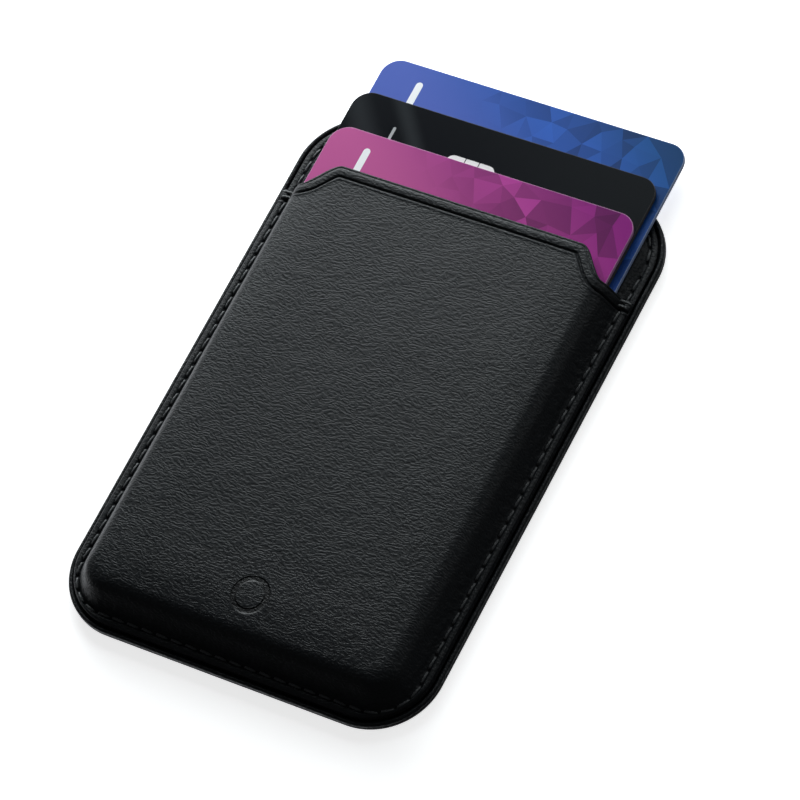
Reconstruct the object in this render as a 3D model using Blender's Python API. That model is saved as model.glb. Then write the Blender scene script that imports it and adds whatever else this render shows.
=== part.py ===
"""Magnetic phone-back card holder with three cards, lying on its back.

Frame: X is the width, Y runs along the length towards the open end, Z is up out of the front.
The back face lies on Z = 0. Sizes are in millimetres, and MM turns them into metres.
"""
import math

import bmesh
import bpy

MM = 0.001

# Driving sizes of the holder
WIDTH = 64.2
LENGTH = 96.0
CORNER = 11.0
LAYER_GAP = 0.25

# Back cover: a shallow tray with a rounded outer lip and a ledge for the sewn layers
COVER_FLOOR = 0.75
LIP_TOP = 2.2
LIP_WIDTH = 0.75
LIP_ROUND = 0.4
BACK_ROUND_WIDTH = 1.3
BACK_ROUND_HEIGHT = 1.1
LEDGE_TOP = 1.45
LEDGE_INSET = 2.9

# Core board with the magnet windows, and the magnets
BOARD_BOTTOM = COVER_FLOOR + LAYER_GAP
BOARD_TOP = 2.15
BOARD_INSET = 3.2
BOARD_CHAMFER = 0.5
BOARD_CORNER = 7.6
MAGNET_COUNT = 16
MAGNET_RING_Y = 8.0
MAGNET_INNER_RADIUS = 23.4
MAGNET_OUTER_RADIUS = 26.9
MAGNET_SPAN = math.radians(19.4)
MAGNET_BOTTOM = 1.05
MAGNET_TOP = 1.7
BAR_MAGNET_WIDTH = 5.0
BAR_MAGNET_LENGTH = 13.0
BAR_MAGNET_Y = -32.5
BAR_MAGNET_CORNER = 0.6
WINDOW_MARGIN = 0.3
SHIELD_RECESS_FLOOR = 1.75
SHIELD_RADIUS = 27.2
SHIELD_BOTTOM = 1.85
SHIELD_TOP = 2.1

# Sewn flange, shared by the inner panel and the front panel
SEWN_INSET = 1.05
SEWN_ROUND = 0.2
SEAM_INSET = 2.35
GROOVE_HALF_WIDTH = 0.35
GROOVE_DEPTH = 0.3
THREAD_RADIUS = 0.17
THREAD_LIFT = 0.15

# Inner panel: the leather bed that the cards lie on
INNER_EDGE_BOTTOM = LEDGE_TOP + LAYER_GAP
INNER_EDGE_TOP = 2.2
INNER_BED_BOTTOM = BOARD_TOP + LAYER_GAP
INNER_BED_TOP = 3.0
INNER_BED_INSET = 3.8

# Front panel: moulded pocket leather with a sewn flange on three sides
FLANGE_BOTTOM = INNER_EDGE_TOP + LAYER_GAP
FLANGE_TOP = 3.05
FLANGE_ROUND = 0.3
FOOT_INSET = 2.75
FOOT_CORNER = 6.4
LEATHER = 0.45
WALL_LEAN = math.radians(29)
SHOULDER_RADIUS = 3.4
FRONT_TOP = 7.8
FRONT_CROWN = 0.2
CROWN_INSET = 14.0
CROWN_CORNER = 4.0

# Opening of the pocket: high across the middle, low where it meets the flange
OPENING_HIGH_Y = 35.5
OPENING_LOW_Y = 30.9
OPENING_BEND_START = 21.2
OPENING_BEND_END = 26.9
TACK_OFFSET = 0.45
SEAM_END_OFFSET = 1.0

# Sheets behind the front leather
LINING_BOTTOM = 6.08
LINING_TOP = 6.33
LINING_HALF_WIDTH = 26.5
STIFFENER_BOTTOM = 6.55
STIFFENER_TOP = 6.85
STIFFENER_HALF_WIDTH = 25.9
SHEET_BOTTOM_Y = -41.8
SHEET_TOP_Y = 30.6
SHEET_CORNER = 4.0

# Cards of the common ID-1 size
CARD_WIDTH = 53.98
CARD_LENGTH = 85.60
CARD_THICKNESS = 0.76
CARD_CORNER = 3.18
CARD_EDGE = 0.1
CARD_GAP = 0.2
CARD_BED = INNER_BED_TOP + CARD_GAP
CARD_STEP = CARD_THICKNESS + CARD_GAP
CARD_PLACES = (
    ("rear_card", 1.1, 58.0),
    ("middle_card", -0.1, 50.6),
    ("front_card", -0.1, 43.2),
)

# Contact chip let into the middle card
CHIP_WIDTH = 8.6
CHIP_LENGTH = 11.0
CHIP_CORNER = 1.4
CHIP_THICKNESS = 0.25
CHIP_FROM_CARD_CENTRE = -3.3
CHIP_FROM_CARD_TOP = 6.2
CHIP_RECESS = 0.45
CHIP_MARGIN = 0.2

ARC_STEPS = 8
SHARP_ANGLE = math.radians(35)
CUTTER_OVERHANG = 1.0


def remove_everything():
    for obj in list(bpy.data.objects):
        bpy.data.objects.remove(obj, do_unlink=True)


def make_material(name, colour, roughness, metallic=0.0):
    material = bpy.data.materials.new(name)
    material.use_nodes = True
    shader = material.node_tree.nodes["Principled BSDF"]
    shader.inputs["Base Color"].default_value = (*colour, 1.0)
    shader.inputs["Roughness"].default_value = roughness
    shader.inputs["Metallic"].default_value = metallic
    return material


def make_object(name, mesh, material):
    mesh.materials.append(material)
    mesh.shade_smooth()
    mesh.set_sharp_from_angle(angle=SHARP_ANGLE)
    obj = bpy.data.objects.new(name, mesh)
    bpy.context.scene.collection.objects.link(obj)
    return obj


def rounded_rectangle(half_width, bottom, top, radius, centre_x=0.0, steps=ARC_STEPS):
    """Points of a rounded rectangle, counter-clockwise from its right side."""
    corners = (
        (half_width - radius, top - radius, 0),
        (radius - half_width, top - radius, 90),
        (radius - half_width, bottom + radius, 180),
        (half_width - radius, bottom + radius, 270),
    )
    points = []
    for x, y, start in corners:
        for step in range(steps + 1):
            angle = math.radians(start + 90 * step / steps)
            points.append((centre_x + x + radius * math.cos(angle), y + radius * math.sin(angle)))
    return points


def holder_outline(inset, radius=None):
    """The holder's outline moved inwards. The corner radius shrinks with it unless one is given."""
    if radius is None:
        radius = CORNER - inset
    half_length = LENGTH / 2 - inset
    return rounded_rectangle(WIDTH / 2 - inset, -half_length, half_length, radius)


def pocket_outline(inset):
    """An outline that keeps the pocket wall's tighter corners, down to a small radius far inside."""
    return holder_outline(inset, max(FOOT_CORNER + FOOT_INSET - inset, CROWN_CORNER))


def profile_arc(inset, height, across, up, start, end, steps):
    """Section points on part of an ellipse. Angles run in degrees: 0 is inwards, 90 is up."""
    points = []
    for step in range(steps + 1):
        angle = math.radians(start + (end - start) * step / steps)
        points.append((inset + across * math.cos(angle), height + up * math.sin(angle)))
    return points


def mesh_from_loops(name, loops):
    """Joins rings of points at given heights into one closed skin, capped at both ends."""
    build = bmesh.new()
    rings = []
    for points, height in loops:
        rings.append([build.verts.new((x * MM, y * MM, height * MM)) for x, y in points])
    for lower, upper in zip(rings, rings[1:]):
        count = len(lower)
        for i in range(count):
            j = (i + 1) % count
            build.faces.new((lower[i], lower[j], upper[j], upper[i]))
    build.faces.new(list(reversed(rings[0])))
    build.faces.new(rings[-1])
    bmesh.ops.recalc_face_normals(build, faces=build.faces)
    mesh = bpy.data.meshes.new(name)
    build.to_mesh(mesh)
    build.free()
    return mesh


def plate_mesh(name, points, bottom, top):
    return mesh_from_loops(name, ((points, bottom), (points, top)))


def make_cutter(name, mesh):
    cutter = bpy.data.objects.new(name, mesh)
    bpy.context.scene.collection.objects.link(cutter)
    cutter.hide_render = True
    cutter.display_type = "WIRE"
    return cutter


def cut(obj, cutter):
    modifier = obj.modifiers.new(cutter.name, "BOOLEAN")
    modifier.operation = "DIFFERENCE"
    modifier.solver = "EXACT"
    modifier.object = cutter


def make_tube(name, centres, radius, material, sides=6):
    """A closed thread of round section that follows a list of centre points."""
    build = bmesh.new()
    rings = []
    last = len(centres) - 1
    for i, (x, y, z) in enumerate(centres):
        ahead = centres[min(i + 1, last)]
        behind = centres[max(i - 1, 0)]
        length = math.hypot(ahead[0] - behind[0], ahead[1] - behind[1])
        side_x = (ahead[1] - behind[1]) / length
        side_y = -(ahead[0] - behind[0]) / length
        ring = []
        for k in range(sides):
            angle = 2 * math.pi * k / sides
            across = radius * math.cos(angle)
            up = radius * math.sin(angle)
            ring.append(
                build.verts.new(((x + side_x * across) * MM, (y + side_y * across) * MM, (z + up) * MM))
            )
        rings.append(ring)
    for first, second in zip(rings, rings[1:]):
        for k in range(sides):
            m = (k + 1) % sides
            build.faces.new((first[k], first[m], second[m], second[k]))
    build.faces.new(rings[0])
    build.faces.new(rings[-1])
    bmesh.ops.recalc_face_normals(build, faces=build.faces)
    mesh = bpy.data.meshes.new(name)
    build.to_mesh(mesh)
    build.free()
    return make_object(name, mesh, material)


def make_back_cover(material):
    """Profile from the rest face, up the rounded side, over the lip and down to the tray floor."""
    profile = profile_arc(
        BACK_ROUND_WIDTH, BACK_ROUND_HEIGHT, BACK_ROUND_WIDTH, BACK_ROUND_HEIGHT, 270, 180, steps=4
    )
    profile += profile_arc(LIP_WIDTH / 2, LIP_TOP - LIP_ROUND, LIP_WIDTH / 2, LIP_ROUND, 180, 0, steps=6)
    profile += [(LIP_WIDTH, LEDGE_TOP), (LEDGE_INSET, LEDGE_TOP), (LEDGE_INSET, COVER_FLOOR)]
    loops = [(holder_outline(inset), height) for inset, height in profile]
    return make_object("back_cover", mesh_from_loops("back_cover", loops), material)


def arc_segment(inner, outer, middle, span, steps=3):
    """Outline of one segment of the magnet ring."""
    points = []
    for step in range(steps + 1):
        angle = middle - span / 2 + span * step / steps
        points.append((outer * math.cos(angle), MAGNET_RING_Y + outer * math.sin(angle)))
    for step in range(steps, -1, -1):
        angle = middle - span / 2 + span * step / steps
        points.append((inner * math.cos(angle), MAGNET_RING_Y + inner * math.sin(angle)))
    return points


def circle(radius, steps=48):
    points = []
    for step in range(steps):
        angle = 2 * math.pi * step / steps
        points.append((radius * math.cos(angle), MAGNET_RING_Y + radius * math.sin(angle)))
    return points


def magnet_angles():
    return [2 * math.pi * (i + 0.5) / MAGNET_COUNT for i in range(MAGNET_COUNT)]


def bar_magnet_outline(margin):
    half = BAR_MAGNET_LENGTH / 2 + margin
    return rounded_rectangle(
        BAR_MAGNET_WIDTH / 2 + margin,
        BAR_MAGNET_Y - half,
        BAR_MAGNET_Y + half,
        BAR_MAGNET_CORNER + margin,
        steps=2,
    )


def make_core_board(material):
    """Board with one window for each magnet and a recess above them for the shield plate."""
    bottom_outline = holder_outline(BOARD_INSET, BOARD_CORNER)
    top_outline = holder_outline(BOARD_INSET + BOARD_CHAMFER, BOARD_CORNER - BOARD_CHAMFER)
    loops = (
        (bottom_outline, BOARD_BOTTOM),
        (bottom_outline, BOARD_TOP - BOARD_CHAMFER),
        (top_outline, BOARD_TOP),
    )
    board = make_object("core_board", mesh_from_loops("core_board", loops), material)
    recess = circle(SHIELD_RADIUS + WINDOW_MARGIN)
    top = BOARD_TOP + CUTTER_OVERHANG
    cut(board, make_cutter("shield_recess", plate_mesh("shield_recess", recess, SHIELD_RECESS_FLOOR, top)))
    low = BOARD_BOTTOM - CUTTER_OVERHANG
    extra_span = 2 * WINDOW_MARGIN / MAGNET_INNER_RADIUS
    for number, angle in enumerate(magnet_angles(), start=1):
        window = arc_segment(
            MAGNET_INNER_RADIUS - WINDOW_MARGIN,
            MAGNET_OUTER_RADIUS + WINDOW_MARGIN,
            angle,
            MAGNET_SPAN + extra_span,
        )
        name = f"magnet_window_{number:02d}"
        cut(board, make_cutter(name, plate_mesh(name, window, low, top)))
    window = bar_magnet_outline(WINDOW_MARGIN)
    cut(board, make_cutter("bar_window", plate_mesh("bar_window", window, low, top)))
    return board


def make_magnets(material):
    for number, angle in enumerate(magnet_angles(), start=1):
        name = f"ring_magnet_{number:02d}"
        outline = arc_segment(MAGNET_INNER_RADIUS, MAGNET_OUTER_RADIUS, angle, MAGNET_SPAN)
        make_object(name, plate_mesh(name, outline, MAGNET_BOTTOM, MAGNET_TOP), material)
    outline = bar_magnet_outline(0.0)
    mesh = plate_mesh("alignment_magnet", outline, MAGNET_BOTTOM, MAGNET_TOP)
    make_object("alignment_magnet", mesh, material)


def make_shield_plate(material):
    mesh = plate_mesh("shield_plate", circle(SHIELD_RADIUS), SHIELD_BOTTOM, SHIELD_TOP)
    return make_object("shield_plate", mesh, material)


def seam_groove(top):
    """Section of the groove that the seam thread lies in, from its outer side to its inner side."""
    outer = SEAM_INSET - GROOVE_HALF_WIDTH
    inner = SEAM_INSET + GROOVE_HALF_WIDTH
    return [(outer, top), (outer, top - GROOVE_DEPTH), (inner, top - GROOVE_DEPTH), (inner, top)]


def make_inner_panel(material):
    """Sheet with a sewn edge below and a raised bed for the cards, from its bed underside outwards."""
    corner = SEWN_INSET + SEWN_ROUND
    profile = [(INNER_BED_INSET, INNER_BED_BOTTOM), (LEDGE_INSET, INNER_EDGE_BOTTOM)]
    profile += profile_arc(corner, INNER_EDGE_BOTTOM + SEWN_ROUND, SEWN_ROUND, SEWN_ROUND, 270, 180, steps=2)
    profile += profile_arc(corner, INNER_EDGE_TOP - SEWN_ROUND, SEWN_ROUND, SEWN_ROUND, 180, 90, steps=2)
    profile += seam_groove(INNER_EDGE_TOP)
    profile += [(FOOT_INSET, INNER_EDGE_TOP), (INNER_BED_INSET, INNER_BED_TOP)]
    loops = [(holder_outline(inset), height) for inset, height in profile]
    return make_object("inner_panel", mesh_from_loops("inner_panel", loops), material)


def opening_height(x):
    """The opening's edge in plan: flat in the middle, then an S-bend down to the flange."""
    share = (OPENING_BEND_END - abs(x)) / (OPENING_BEND_END - OPENING_BEND_START)
    share = min(1.0, max(0.0, share))
    return OPENING_LOW_Y + (OPENING_HIGH_Y - OPENING_LOW_Y) * share * share * (3 - 2 * share)


def opening_cutter():
    """Everything beyond the opening's edge, as a tall block with a shaped lower side."""
    bend_steps = 10
    reach = WIDTH / 2 + CUTTER_OVERHANG
    far_y = LENGTH / 2 + CUTTER_OVERHANG
    bend = []
    for step in range(bend_steps + 1):
        x = OPENING_BEND_START + (OPENING_BEND_END - OPENING_BEND_START) * step / bend_steps
        bend.append(x)
    xs = [-reach] + [-x for x in reversed(bend)] + bend + [reach]
    points = [(x, opening_height(x)) for x in xs]
    points += [(reach, far_y), (-reach, far_y)]
    top = FRONT_TOP + FRONT_CROWN + CUTTER_OVERHANG
    mesh = plate_mesh("opening_cutter", points, FLANGE_BOTTOM - CUTTER_OVERHANG, top)
    return make_cutter("opening_cutter", mesh)


def shoulder_profile(radius, steps=5):
    """Turn from the leaning pocket wall to the front face, from the wall up."""
    centre_height = FRONT_TOP - SHOULDER_RADIUS
    wall_height = centre_height + SHOULDER_RADIUS * math.sin(WALL_LEAN) - FLANGE_TOP
    wall_inset = FOOT_INSET + wall_height * math.tan(WALL_LEAN)
    centre_inset = wall_inset + SHOULDER_RADIUS * math.cos(WALL_LEAN)
    points = []
    for step in range(steps + 1):
        angle = WALL_LEAN + (math.pi / 2 - WALL_LEAN) * step / steps
        points.append((centre_inset - radius * math.cos(angle), centre_height + radius * math.sin(angle)))
    return points


def make_front_panel(material):
    """Shell section from the front face out over the wall and flange, then back inside."""
    outside = [(CROWN_INSET, FRONT_TOP + FRONT_CROWN)]
    outside += reversed(shoulder_profile(SHOULDER_RADIUS))
    outside += [(FOOT_INSET, FLANGE_TOP)]
    outside += reversed(seam_groove(FLANGE_TOP))
    edge = profile_arc(
        SEWN_INSET + FLANGE_ROUND, FLANGE_TOP - FLANGE_ROUND, FLANGE_ROUND, FLANGE_ROUND, 90, 180, steps=3
    )
    edge += [(SEWN_INSET, FLANGE_BOTTOM)]
    inner_foot = FOOT_INSET + LEATHER / math.cos(WALL_LEAN)
    inside = [(FOOT_INSET, FLANGE_BOTTOM), (inner_foot, FLANGE_BOTTOM + LEATHER)]
    inside += shoulder_profile(SHOULDER_RADIUS - LEATHER)
    inside += [(CROWN_INSET, FRONT_TOP - LEATHER + FRONT_CROWN)]
    loops = [(pocket_outline(inset), height) for inset, height in outside]
    loops += [(holder_outline(inset), height) for inset, height in edge]
    loops += [(pocket_outline(inset), height) for inset, height in inside]
    panel = make_object("front_panel", mesh_from_loops("front_panel", loops), material)
    cut(panel, opening_cutter())
    return panel


def make_sheet(name, half_width, bottom, top, material):
    outline = rounded_rectangle(half_width, SHEET_BOTTOM_Y, SHEET_TOP_Y, SHEET_CORNER, steps=4)
    return make_object(name, plate_mesh(name, outline, bottom, top), material)


def seam_run(outline, height, keep):
    """The run of outline points that keep() accepts, in order, lifted to one height."""
    count = len(outline)
    start = next(i for i in range(count) if keep(outline[i]) and not keep(outline[i - 1]))
    run = []
    for step in range(count):
        x, y = outline[(start + step) % count]
        if keep((x, y)):
            run.append((x, y, height))
    return run


def make_seam(name, outline, flange_top, keep, end_y, material):
    """Thread along part of an outline, with straight runs on to end_y at both ends."""
    height = flange_top - GROOVE_DEPTH + THREAD_LIFT + THREAD_RADIUS
    run = seam_run(outline, height, keep)
    centres = [(run[0][0], end_y, height)] + run + [(run[-1][0], end_y, height)]
    return make_tube(name, centres, THREAD_RADIUS, material)


def make_seams(material):
    """One thread round the closed sides of the pocket and one round the bare upper edge."""
    make_seam(
        "pocket_seam_thread",
        pocket_outline(SEAM_INSET),
        FLANGE_TOP,
        lambda point: point[1] < 0,
        OPENING_LOW_Y - SEAM_END_OFFSET,
        material,
    )
    make_seam(
        "edge_seam_thread",
        holder_outline(SEAM_INSET),
        INNER_EDGE_TOP,
        lambda point: point[1] > 0,
        OPENING_LOW_Y + SEAM_END_OFFSET,
        material,
    )


def make_bar_tacks(material):
    """Short cross stitches that hold each end of the opening down on the flange."""
    height = FLANGE_TOP + 2 * THREAD_LIFT + THREAD_RADIUS
    tack_y = OPENING_LOW_Y - TACK_OFFSET
    for name, side in (("left_bar_tack", -1), ("right_bar_tack", 1)):
        inner = side * (WIDTH / 2 - FOOT_INSET)
        outer = side * (WIDTH / 2 - SEWN_INSET - FLANGE_ROUND)
        make_tube(name, [(inner, tack_y, height), (outer, tack_y, height)], THREAD_RADIUS, material)


def card_loop(inset, height):
    """Card outline moved inwards. The origin is on the middle of the card's upper edge."""
    outline = rounded_rectangle(
        CARD_WIDTH / 2 - inset, inset - CARD_LENGTH, -inset, CARD_CORNER - inset, steps=6
    )
    return outline, height


def make_cards(materials):
    """Three cards with slightly rounded edges, each with its origin on its own upper edge."""
    cards = {}
    for level, (name, centre_x, top_y) in enumerate(CARD_PLACES):
        loops = (
            card_loop(CARD_EDGE, 0.0),
            card_loop(0.0, CARD_EDGE),
            card_loop(0.0, CARD_THICKNESS - CARD_EDGE),
            card_loop(CARD_EDGE, CARD_THICKNESS),
        )
        card = make_object(name, mesh_from_loops(name, loops), materials[name])
        card.location = (centre_x * MM, top_y * MM, (CARD_BED + level * CARD_STEP) * MM)
        cards[name] = card
    return cards


def chip_outline(margin):
    top = -CHIP_FROM_CARD_TOP
    return rounded_rectangle(
        CHIP_WIDTH / 2 + margin,
        top - CHIP_LENGTH - margin,
        top + margin,
        CHIP_CORNER + margin,
        CHIP_FROM_CARD_CENTRE,
        steps=4,
    )


def make_chip(card, material):
    """Contact plate in a recess of a card, level with the card's face and carried by the card."""
    recess_floor = CARD_THICKNESS - CHIP_RECESS
    recess_top = CARD_THICKNESS + CUTTER_OVERHANG
    recess = make_cutter(
        "chip_recess", plate_mesh("chip_recess", chip_outline(CHIP_MARGIN), recess_floor, recess_top)
    )
    recess.parent = card
    cut(card, recess)
    chip_bottom = CARD_THICKNESS - CHIP_THICKNESS
    chip_mesh = plate_mesh("middle_card_chip", chip_outline(0.0), chip_bottom, CARD_THICKNESS)
    chip = make_object("middle_card_chip", chip_mesh, material)
    chip.parent = card
    return chip


def build():
    remove_everything()
    leather = make_material("black_leather", (0.022, 0.024, 0.026), 0.5)
    thread = make_material("black_thread", (0.02, 0.02, 0.022), 0.6)
    board = make_material("grey_board", (0.2, 0.2, 0.2), 0.8)
    magnet = make_material("nickel_magnet", (0.6, 0.6, 0.58), 0.3, 1.0)
    steel = make_material("steel_sheet", (0.5, 0.5, 0.5), 0.35, 1.0)
    lining = make_material("black_microfibre", (0.03, 0.03, 0.032), 0.9)
    card_colours = {
        "rear_card": make_material("blue_card", (0.05, 0.12, 0.38), 0.35),
        "middle_card": make_material("black_card", (0.012, 0.014, 0.017), 0.25),
        "front_card": make_material("magenta_card", (0.32, 0.05, 0.22), 0.35),
    }
    contact = make_material("chip_contact", (0.75, 0.74, 0.7), 0.3, 1.0)

    make_back_cover(leather)
    make_core_board(board)
    make_magnets(magnet)
    make_shield_plate(steel)
    make_inner_panel(leather)
    make_front_panel(leather)
    make_sheet("front_lining", LINING_HALF_WIDTH, LINING_BOTTOM, LINING_TOP, lining)
    make_sheet("front_stiffener", STIFFENER_HALF_WIDTH, STIFFENER_BOTTOM, STIFFENER_TOP, board)
    make_seams(thread)
    make_bar_tacks(thread)
    cards = make_cards(card_colours)
    make_chip(cards["middle_card"], contact)


build()
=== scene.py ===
import math
import random

import bpy
import numpy as np
from mathutils import Matrix, Vector, noise
from mathutils.geometry import delaunay_2d_cdt


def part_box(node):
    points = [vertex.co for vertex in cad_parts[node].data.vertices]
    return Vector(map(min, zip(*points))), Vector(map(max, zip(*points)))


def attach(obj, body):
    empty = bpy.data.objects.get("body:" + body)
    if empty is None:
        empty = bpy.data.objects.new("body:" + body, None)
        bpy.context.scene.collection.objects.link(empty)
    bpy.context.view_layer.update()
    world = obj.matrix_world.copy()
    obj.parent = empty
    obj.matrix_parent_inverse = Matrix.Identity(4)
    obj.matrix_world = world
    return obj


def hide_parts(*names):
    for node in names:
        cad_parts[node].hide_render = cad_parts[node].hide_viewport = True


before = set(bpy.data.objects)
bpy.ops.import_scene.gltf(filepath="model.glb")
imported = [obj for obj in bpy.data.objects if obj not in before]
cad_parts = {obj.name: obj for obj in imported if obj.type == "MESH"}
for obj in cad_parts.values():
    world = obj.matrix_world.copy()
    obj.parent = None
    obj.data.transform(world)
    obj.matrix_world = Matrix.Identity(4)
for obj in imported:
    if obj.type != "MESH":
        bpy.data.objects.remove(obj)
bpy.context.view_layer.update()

# Lengths are in millimetres, and MM turns them into the frame's metres.
MM = 0.001


def box_mm(node):
    """Lowest and highest corner of a CAD node, in millimetres."""
    low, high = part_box(node)
    return [value / MM for value in low], [value / MM for value in high]


# Sizes read from the frame
cover_low, cover_high = box_mm("back_cover")
inner_low, inner_high = box_mm("inner_panel")
panel_low, panel_high = box_mm("front_panel")
HALF_WIDTH = cover_high[0]
HALF_LENGTH = cover_high[1]
LIP_TOP = cover_high[2]
INNER_BOTTOM = inner_low[2]
BED_TOP = inner_high[2]
FLANGE_BOTTOM = panel_low[2]
CROWN_TOP = panel_high[2]
OPENING_HIGH_Y = panel_high[1]
SEWN_INSET = HALF_WIDTH - panel_high[0]

# Sizes of the leather work and the cards, as in the CAD model
CORNER = 11.0
LIP_WIDTH = 0.75
LIP_ROUND = 0.4
BACK_ROUND_WIDTH = 1.3
BACK_ROUND_HEIGHT = 1.1
LEDGE_TOP = 1.45
LEDGE_INSET = 2.9
INNER_EDGE_TOP = 2.2
INNER_BED_INSET = 3.8
FLANGE_TOP = 3.05
SEAM_INSET = 2.35
FOOT_INSET = 2.75
FOOT_CORNER = 6.4
WALL_LEAN = math.radians(29)
SHOULDER_RADIUS = 3.4
FACE_DOME = 0.3
SHOULDER_TOP = CROWN_TOP - FACE_DOME
DOME_WIDTH = 6.0
CROWN_CORNER = 4.0
LEATHER = 0.45
OPENING_LOW_Y = 30.9
OPENING_BEND_START = 21.2
OPENING_BEND_END = 26.9
CARD_CORNER = 3.18

# Details that only the looks have
BEAD_WIDTH = 2.0
CREASE_DEPTH = 0.34
CREASE_HALF_WIDTH = 0.26
STITCH_PITCH = 2.6
STITCH_SHARE = 0.8
THREAD_RADIUS = 0.19
HOLE_DEPTH = 0.3
HOLE_RADIUS = 0.36
SEAM_DIP = 0.16
RING_CENTRE = (0.5, -36.4)
RING_RADIUS = 2.7
RING_LINE = 0.8
RING_SOFTNESS = 0.12
RING_DEPTH = 0.3
GRADIENT_SLANT = 1.2
FACET_CONTRAST = 0.46
CARD_ROUGHNESS = 0.34
BAR_SIZE = (5.0, 1.2)
SMALL_BAR_SIZE = (2.6, 0.5)
CARD_EDGE = 0.1
CARD_RIM_ROUND = 0.03
INK_HEIGHT = 0.012
PAD_GAP = 0.14
PAD_RISE = 0.03
CHIP_CORNER = 1.3
FLANGE_ROUND = 0.3
FINE_ROW_STEP = 0.12
WALL_ROW_STEP = 0.24
FACE_ROW_STEP = 0.23
FACE_ROW_WIDEST = 0.9
SEAM_SEARCH_ROWS = 30

# Each pass of a bar tack: how far below the opening's end it lies, its inner inset and its outer inset
TACK_PASSES = ((0.5, 3.15, 1.0), (1.35, 3.1, 1.35))

# Angles in degrees through which the leather's edge turns under
EDGE_TURN_ANGLES = (65, 40, 15, -15, -45, -75)

# The studio, with the direction from which its surroundings glow
STAGE_HALF = 3000.0
BACKDROP_RADIUS = 2900.0
BACKDROP_LOW = -20.0
BACKDROP_HIGH = 2400.0
LOWER_GLOW = (-0.62, 0.3, -0.72)


# ---------------------------------------------------------------- mesh helpers


def link(obj):
    """Adds an object to the scene."""
    bpy.context.scene.collection.objects.link(obj)
    return obj


def mesh_object(name, points, faces, material, smooth=True):
    """A mesh from points in millimetres, turned into metres."""
    mesh = bpy.data.meshes.new(name)
    mesh.from_pydata([tuple(float(v) * MM for v in point) for point in points], [], faces)
    mesh.update()
    mesh.materials.append(material)
    if smooth:
        mesh.shade_smooth()
    return link(bpy.data.objects.new(name, mesh))


def grid_faces(rows, columns, closed=False, flip=False):
    """Quads between neighbouring rows. A closed grid joins its last column to its first."""
    faces = []
    last = columns if closed else columns - 1
    for row in range(rows - 1):
        for column in range(last):
            after = (column + 1) % columns
            a = row * columns + column
            b = row * columns + after
            c = (row + 1) * columns + after
            d = (row + 1) * columns + column
            faces.append((a, d, c, b) if flip else (a, b, c, d))
    return faces


def grid_normals(grid, closed=False):
    """Unit normals of a grid of points, from the differences between neighbours."""
    if closed:
        along = np.roll(grid, -1, axis=1) - np.roll(grid, 1, axis=1)
    else:
        along = np.gradient(grid, axis=1)
    across = np.gradient(grid, axis=0)
    normals = np.cross(along, across)
    length = np.linalg.norm(normals, axis=2, keepdims=True)
    normals = normals / np.maximum(length, 1e-9)
    if normals[:, :, 2].mean() < 0:
        normals = -normals
    return normals


def smooth_step(low, high, value):
    """0 up to low, 1 from high on, and a smooth rise between."""
    share = np.clip((value - low) / (high - low), 0.0, 1.0)
    return share * share * (3 - 2 * share)


def hump(distance, half_width):
    """1 at no distance, falling smoothly to 0 at the half width."""
    return 1.0 - smooth_step(0.0, half_width, np.abs(distance))


def section_arc(inset, height, across, up, start, end, steps):
    """Section points on part of an ellipse. Angles run in degrees: 0 is inwards, 90 is up."""
    points = []
    for step in range(steps + 1):
        angle = math.radians(start + (end - start) * step / steps)
        points.append((inset + across * math.cos(angle), height + up * math.sin(angle)))
    return points


def section_line(start, end, step):
    """Section points between two ends, without the first, at most one step apart."""
    count = max(1, math.ceil(math.dist(start, end) / step))
    points = []
    for i in range(1, count + 1):
        share = i / count
        points.append(tuple(a + (b - a) * share for a, b in zip(start, end)))
    return points


# ---------------------------------------------------------------- outlines


def closed_outline(inset, spacing=0.25, corner_steps=48):
    """The holder's outline moved inwards, counter-clockwise, always with the same point count."""
    radius = max(CORNER - inset, 0.5)
    half_x = HALF_WIDTH - inset - radius
    half_y = HALF_LENGTH - inset - radius
    side_y = int(2 * (HALF_LENGTH - CORNER) / spacing)
    side_x = int(2 * (HALF_WIDTH - CORNER) / spacing)
    points = []
    for corner_x, corner_y, start, run in (
        (half_x, half_y, 0, (-1, 0, side_x)),
        (-half_x, half_y, 90, (0, -1, side_y)),
        (-half_x, -half_y, 180, (1, 0, side_x)),
        (half_x, -half_y, 270, (0, 1, side_y)),
    ):
        for step in range(corner_steps):
            angle = math.radians(start + 90 * step / corner_steps)
            points.append((corner_x + radius * math.cos(angle), corner_y + radius * math.sin(angle)))
        angle = math.radians(start + 90)
        end = (corner_x + radius * math.cos(angle), corner_y + radius * math.sin(angle))
        length = 2 * (half_x if run[0] else half_y)
        for step in range(run[2]):
            share = step / run[2] * length
            points.append((end[0] + run[0] * share, end[1] + run[1] * share))
    return np.array(points)


def opening_height(x):
    """The opening's edge in plan: flat in the middle, then an S-bend down to the flange."""
    share = smooth_step(0.0, OPENING_BEND_END - OPENING_BEND_START, OPENING_BEND_END - np.abs(x))
    return OPENING_LOW_Y + (OPENING_HIGH_Y - OPENING_LOW_Y) * share


def pocket_radius(inset):
    """Corner radius of the pocket at an inset: wide at the flange's edge, tighter at the wall's foot."""
    wall = max(FOOT_CORNER + FOOT_INSET - inset, CROWN_CORNER)
    edge = CORNER - inset
    share = float(smooth_step(SEWN_INSET, SEAM_INSET, inset))
    return min(edge + (wall - edge) * share, 0.9 * (HALF_WIDTH - inset))


# How far the panel's first columns lie from the opening's edge, then the steps along the rest of the U
EDGE_STEPS = [0.33, 0.4, 0.48, 0.57, 0.68] + [0.8 + 0.12 * i for i in range(38)]
ARM_STEPS = 280
CORNER_STEPS = 40
BOTTOM_STEPS = 200

# The turned edge runs back underneath the panel below these columns
UNDERSIDE_COLUMNS = (0, 6, 14, 22, len(EDGE_STEPS) + 8, len(EDGE_STEPS) + 20)


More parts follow.
